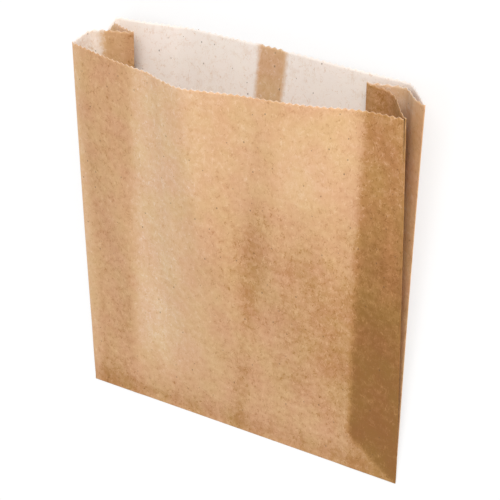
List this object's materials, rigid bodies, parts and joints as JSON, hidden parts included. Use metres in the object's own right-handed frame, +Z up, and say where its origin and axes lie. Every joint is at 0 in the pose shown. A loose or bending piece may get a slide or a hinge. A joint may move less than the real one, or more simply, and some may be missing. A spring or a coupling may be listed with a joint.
{
  "type": "sanitary disposal bag",
  "caption": "Flat side-gusseted bag of thin waxed kraft paper with a glued turned-up bottom, a back seam and a saw-cut open mouth.",
  "frame": {"origin": "middle of the footprint, on the surface that the bag lies on", "axes": "+X across the bag to its right side, +Y from the bottom fold to the mouth, +Z up, out of the front panel"},
  "size_m": [0.2344, 0.263, 0.0644],
  "materials": {
    "paper": "thin waxed kraft, translucent, soft sheen"
  },
  "bodies": {
    "root": {"bag": "paper"}
  },
  "joints": []
}
